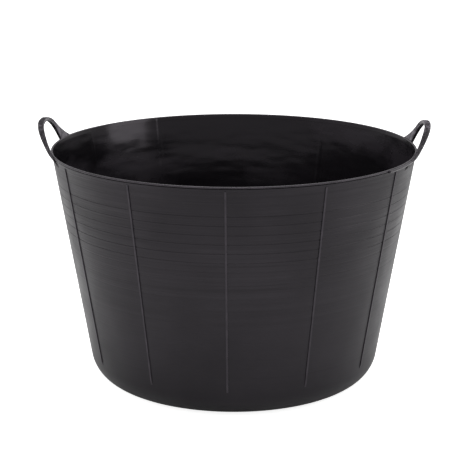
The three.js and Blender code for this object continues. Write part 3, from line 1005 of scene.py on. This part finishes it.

# %% [markdown]
# ### The smooth face of the strap
# The strap's face towards the tub has no pattern and lies back to the light. It is painted pale
# as a highlight, the palest plastic of all, next to a channel painted black as shade.

# %% Smooth face of the strap
def edge_plastic():
    material, tree, place = new_material("polyethylene_edge_painted_highlight")
    sheen_patch_noise = add(tree, "ShaderNodeTexNoise", {"Vector": place, "Scale": per(6), "Detail": 2.0})
    patchy_sheen = add(tree, "ShaderNodeMapRange", {"Value": sheen_patch_noise, "From Min": 0.35, "From Max": 0.65})
    # The pale grey of this face is a painted highlight.
    colour = add(tree, "ShaderNodeMix", {0: patchy_sheen, 6: linear("#3f3c41"), 7: linear("#716d74")},
                 out=2, data_type="RGBA")
    rough = add(tree, "ShaderNodeMapRange", {"Value": patchy_sheen, "To Min": 0.4, "To Max": 0.25})
    dented = add(tree, "ShaderNodeBump", {"Height": sheen_patch_noise, "Distance": 0.1 * MM})
    shader = add(tree, "ShaderNodeBsdfPrincipled", {
        "Base Color": colour, "Roughness": rough, "Normal": dented, "IOR": 1.5, "Specular Tint": MAUVE})
    add(tree, "ShaderNodeOutputMaterial", {"Surface": shader})
    return material


EDGE = edge_plastic()
print("made", EDGE.name)

# %% [markdown]
# ### Inside of the tub
# The core of the mould is polished, so the inside is blacker and glossier. Near the top it has
# paler, rougher streaks: a painted sheen of soft reflections. Opposite each rib the plastic
# sinks a little as it cools, which leaves faint upright lines. A radial gradient counts the
# ribs round the tub.

# %% Inside of the tub
SHEEN_PATCH_PLACE = (0.35, 0.1, 0.2)
SHEEN_PATCH_SQUEEZE = (1.0, 1.0, 2.4)
WAVE_SQUEEZE = (1.0, 1.0, 3.0)


def inside_plastic():
    material, tree, place = new_material("moulded_polyethylene_polished")
    shifted = add(tree, "ShaderNodeMapping", {
        "Vector": place, "Location": SHEEN_PATCH_PLACE, "Scale": SHEEN_PATCH_SQUEEZE})
    clouds = add(tree, "ShaderNodeTexNoise", {"Vector": shifted, "Scale": per(190), "Detail": 5.0})
    sheen_patch_mask = add(tree, "ShaderNodeMapRange", {"Value": clouds, "From Min": 0.5, "From Max": 0.6})
    height = add(tree, "ShaderNodeSeparateXYZ", {"Vector": place}, out="Z")
    upper = add(tree, "ShaderNodeMapRange", {"Value": height, "From Min": 200 * MM, "From Max": 320 * MM})
    painted_sheen_patches = add(tree, "ShaderNodeMath", {0: sheen_patch_mask, 1: upper}, operation="MULTIPLY")
    mottle = add(tree, "ShaderNodeTexNoise", {"Vector": place, "Scale": per(80), "Detail": 4.0})
    tone = add(tree, "ShaderNodeMix", {0: mottle, 6: linear("#0c0b0d"), 7: linear("#141215")},
               out=2, data_type="RGBA")
    # The paler streaks near the top are a painted sheen of reflections.
    colour = add(tree, "ShaderNodeMix", {0: painted_sheen_patches, 6: tone, 7: linear("#242125")}, out=2, data_type="RGBA")
    rough = add(tree, "ShaderNodeMapRange", {"Value": painted_sheen_patches, "To Min": 0.16, "To Max": 0.3})
    round_tub = add(tree, "ShaderNodeTexGradient", {"Vector": place}, gradient_type="RADIAL")
    counted = add(tree, "ShaderNodeMath", {0: round_tub, 1: float(len(RIB_NODES))}, operation="MULTIPLY")
    from_rib = add(tree, "ShaderNodeMath", {0: counted, 1: 0.5}, operation="PINGPONG")
    sink = add(tree, "ShaderNodeMapRange", {"Value": from_rib, "From Min": 0.0, "From Max": 0.04},
               interpolation_type="SMOOTHSTEP")
    on_wall = add(tree, "ShaderNodeMapRange", {"Value": height, "From Min": 40 * MM, "From Max": 100 * MM})
    drawn = add(tree, "ShaderNodeMath", {0: sink, 1: on_wall}, operation="MULTIPLY")
    sunk = add(tree, "ShaderNodeBump", {"Height": drawn, "Distance": 0.25 * MM})
    wiped = add(tree, "ShaderNodeMapping", {"Vector": place, "Scale": WAVE_SQUEEZE})
    swell = add(tree, "ShaderNodeTexNoise", {"Vector": wiped, "Scale": per(120), "Detail": 2.0})
    waves = add(tree, "ShaderNodeBump", {"Height": swell, "Distance": 1.5 * MM, "Normal": sunk})
    grit = add(tree, "ShaderNodeTexNoise", {"Vector": place, "Scale": per(2.5), "Detail": 2.0})
    grain = add(tree, "ShaderNodeBump", {"Height": grit, "Distance": 0.04 * MM, "Normal": waves})
    shader = add(tree, "ShaderNodeBsdfPrincipled", {
        "Base Color": colour, "Roughness": rough, "Normal": grain, "IOR": 1.39, "Specular Tint": MAUVE})
    add(tree, "ShaderNodeOutputMaterial", {"Surface": shader})
    return material


INSIDE = inside_plastic()
print("made", INSIDE.name)

# %% [markdown]
# ### Handles
# The grip is stippled and stays dry to the touch. Its colour carries painted light: small paler
# patches, and the ribbing painted light on its high points and shade in its hollows, with the
# channel painted black as shade. The real stipple is about 1 mm; it is drawn at about 3 mm, so
# that it shows from a distance. Pale blots near the crest are a painted highlight. The ribbing
# and the crest are read from the piece's own attributes, so that they stay where they are when
# the handle bends.

# %% Handles
def handle_plastic():
    material, tree, place = new_material("stippled_polyethylene_grip")
    patches = add(tree, "ShaderNodeTexNoise", {"Vector": place, "Scale": per(3.2), "Detail": 2.0})
    mottle = add(tree, "ShaderNodeMapRange", {"Value": patches, "From Min": 0.42, "From Max": 0.62})
    ribbing_light = add(tree, "ShaderNodeAttribute", out="Fac", attribute_name="ribbing_light")
    # Painted light and shade: the ribbing's high points light, its hollows and the channel dark.
    lit = add(tree, "ShaderNodeMath", {0: mottle, 1: ribbing_light}, operation="MULTIPLY")
    colour = add(tree, "ShaderNodeMix", {0: lit, 6: linear("#050406"), 7: linear("#322f33")},
                 out=2, data_type="RGBA")
    crest = add(tree, "ShaderNodeAttribute", out="Fac", attribute_name="crest")
    # Pale blots near the crest are a painted highlight.
    blots = add(tree, "ShaderNodeTexNoise", {"Vector": place, "Scale": per(9), "Detail": 3.0})
    highlight_patches = add(tree, "ShaderNodeMapRange", {"Value": blots, "From Min": 0.5, "From Max": 0.56})
    painted_crest_highlight = add(tree, "ShaderNodeMath", {0: highlight_patches, 1: crest}, operation="MULTIPLY")
    finished = add(tree, "ShaderNodeMix", {0: painted_crest_highlight, 6: colour, 7: linear("#5a565c")},
                   out=2, data_type="RGBA")
    rough = add(tree, "ShaderNodeMapRange", {"Value": mottle, "To Min": 0.55, "To Max": 0.35})
    stipple = add(tree, "ShaderNodeTexVoronoi", {"Vector": place, "Scale": per(2.6)}, out="Distance")
    pebbled = add(tree, "ShaderNodeBump", {"Height": stipple, "Distance": 0.6 * MM})
    shader = add(tree, "ShaderNodeBsdfPrincipled", {
        "Base Color": finished, "Roughness": rough, "Normal": pebbled, "IOR": 1.33, "Specular Tint": MAUVE})
    add(tree, "ShaderNodeOutputMaterial", {"Surface": shader})
    return material


HANDLE = handle_plastic()
print("made", HANDLE.name)

# %% [markdown]
# ## Giving each piece its finish
# One moulding has different surfaces inside and outside, so wall, floor and rim hold more than
# one material, and each face takes the one for the side that it looks to. On the rim only the
# bead takes the pale plastic with its painted highlight: the collar below it is like the wall.

# %% Give each piece its plastic
COLLAR_MARGIN = 0.2 * MM


def finish_with(piece, *materials):
    piece.data.materials.clear()
    for material in materials:
        piece.data.materials.append(material)


def faces_the_axis(polygon):
    return polygon.normal.x * polygon.center.x + polygon.normal.y * polygon.center.y < 0


finish_with(tub_wall, OUTSIDE, INSIDE)
finish_with(tub_floor, OUTSIDE, INSIDE)
for polygon in tub_wall.data.polygons:
    polygon.material_index = int(faces_the_axis(polygon) or polygon.normal.z > 0.5)
for polygon in tub_floor.data.polygons:
    polygon.material_index = int(polygon.normal.z > 0)
finish_with(rim_bead, RIM, INSIDE, OUTSIDE)
for polygon in rim_bead.data.polygons:
    if faces_the_axis(polygon) and polygon.center.z < RIM_TOP - BEAD_ROUNDING:
        polygon.material_index = 1
    elif polygon.center.z < RIM_TOP - BEAD_HEIGHT - COLLAR_MARGIN:
        polygon.material_index = 2
for rib in ribs:
    finish_with(rib, RIB)
for piece in (right_strap, left_strap):
    columns_kept = [polygon.material_index for polygon in piece.data.polygons]
    finish_with(piece, HANDLE, EDGE)
    piece.data.polygons.foreach_set("material_index", columns_kept)
# The ledges take the rim's plastic, painted paler as a highlight.
for piece in (right_ledge_strip, left_ledge_strip):
    finish_with(piece, RIM)
print("rim:", [plastic.name for plastic in rim_bead.data.materials])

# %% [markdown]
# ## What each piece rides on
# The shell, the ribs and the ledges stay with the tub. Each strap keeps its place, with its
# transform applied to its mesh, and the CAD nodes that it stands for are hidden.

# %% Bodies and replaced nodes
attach(tub_wall, "tub")
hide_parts("side_wall", "heel_band")
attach(tub_floor, "tub")
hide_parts("floor_disc", "foot_ring")
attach(rim_bead, "tub")
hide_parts("rim_band")
for rib, node in zip(ribs, RIB_NODES):
    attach(rib, "tub")
    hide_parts(node)

HANDLES = (("right", right_strap, right_ledge_strip), ("left", left_strap, left_ledge_strip))
for side, strap, ledge in HANDLES:
    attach(ledge, "tub")
    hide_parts(f"{side}_ledge")
    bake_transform(strap)
    roots = [f"{side}_{end}_{part}" for end in ("front", "rear") for part in ("leg", "web", "gusset")]
    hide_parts(f"{side}_grip", *roots)

# %% [markdown]
# ## Floor
# The tub stands on plain white paper. The paper glows a little where the camera looks at it,
# as if lit from below, so that the tub's shadow stays faint. The glow lights nothing else.

# %% Floor
FLOOR_GLOW = 0.85
start_clean()
bpy.ops.mesh.primitive_plane_add(size=30, location=(0, 0, 0))
studio_floor = bpy.context.object
studio_floor.name = "studio_floor"
white_paper, paper_tree, _ = new_material("studio_floor_white_paper")
looked_at = add(paper_tree, "ShaderNodeLightPath", out="Is Camera Ray")
backlit = add(paper_tree, "ShaderNodeMath", {0: looked_at, 1: FLOOR_GLOW}, operation="MULTIPLY")
paper = add(paper_tree, "ShaderNodeBsdfPrincipled", {
    "Base Color": linear("#f4f4f4"), "Roughness": 1.0, "Specular IOR Level": 0.0,
    "Emission Color": (1, 1, 1, 1), "Emission Strength": backlit})
add(paper_tree, "ShaderNodeOutputMaterial", {"Surface": paper})
finish_with(studio_floor, white_paper)
print("floor:", white_paper.name)

# %% [markdown]
# ## Light
# The tub is near black, so it is drawn by what it reflects: an even grey surround, which the
# camera sees as white, and three soft panels. The one above draws the bead, the one on the
# right gives the sheen down that side, and the one on the left fills without a reflection.

# %% Light
world = bpy.data.worlds.new("studio")
bpy.context.scene.world = world
world.use_nodes = True
world.node_tree.nodes.clear()
SURROUND = 0.56
looked_at = add(world.node_tree, "ShaderNodeLightPath", out="Is Camera Ray")
surround = add(world.node_tree, "ShaderNodeBackground", {"Color": (1, 1, 1, 1), "Strength": SURROUND})
backdrop = add(world.node_tree, "ShaderNodeBackground", {"Color": (1, 1, 1, 1), "Strength": 1.0})
either = add(world.node_tree, "ShaderNodeMixShader", {0: looked_at, 1: surround, 2: backdrop})
add(world.node_tree, "ShaderNodeOutputWorld", {"Surface": either})


def soft_panel(name, place, aim, width, height, power):
    light = bpy.data.lights.new(name, "AREA")
    light.shape = "RECTANGLE"
    light.size = width
    light.size_y = height
    light.energy = power
    panel = bpy.data.objects.new(name, light)
    bpy.context.scene.collection.objects.link(panel)
    panel.location = place
    panel.rotation_euler = (Vector(aim) - Vector(place)).to_track_quat("-Z", "Y").to_euler()
    panel.visible_camera = False
    return panel


MID_WALL = (0, 0, 0.2)
soft_panel("panel_above", (0, 0.2, 2.6), (0, 0, 0), width=2.2, height=2.2, power=42)
soft_panel("panel_right", (2.4, -0.3, 1.0), MID_WALL, width=1.4, height=1.4, power=12)
fill = soft_panel("panel_left", (-2.2, -0.6, 0.9), MID_WALL, width=1.6, height=1.6, power=12)
fill.visible_glossy = False

bpy.context.scene.view_settings.view_transform = "Standard"

# %% [markdown]
# ## Camera
# It stands two and a half metres off and looks a little down into the mouth, through a long
# lens, which keeps the sides from splaying. It aims at half the tub's height, and a small
# shift places the tub in the frame, because a tilt would change how far the ribs lean.

# %% Camera
CAMERA_TURN = math.radians(2.45)
CAMERA_RISE = math.radians(15.6)
CAMERA_DISTANCE = 2.4816
SENSOR_MM = 36
LENS_MM = 122.6
SHIFT_RIGHT = -0.0032
SHIFT_UP = 0.0596
aim_point = Vector((0, 0, RIM_TOP / 2))
camera_data = bpy.data.cameras.new("studio_camera")
camera_data.sensor_width = SENSOR_MM
camera_data.lens = LENS_MM
camera_data.shift_x = SHIFT_RIGHT
camera_data.shift_y = SHIFT_UP
camera = bpy.data.objects.new("studio_camera", camera_data)
bpy.context.scene.collection.objects.link(camera)
back = Vector((
    math.cos(CAMERA_RISE) * math.sin(CAMERA_TURN),
    -math.cos(CAMERA_RISE) * math.cos(CAMERA_TURN),
    math.sin(CAMERA_RISE)))
camera.location = aim_point + back * CAMERA_DISTANCE
camera.rotation_euler = (-back).to_track_quat("-Z", "Y").to_euler()
bpy.context.scene.camera = camera
print("camera at", [round(value, 3) for value in camera.location])

# %% Select nothing
start_clean()
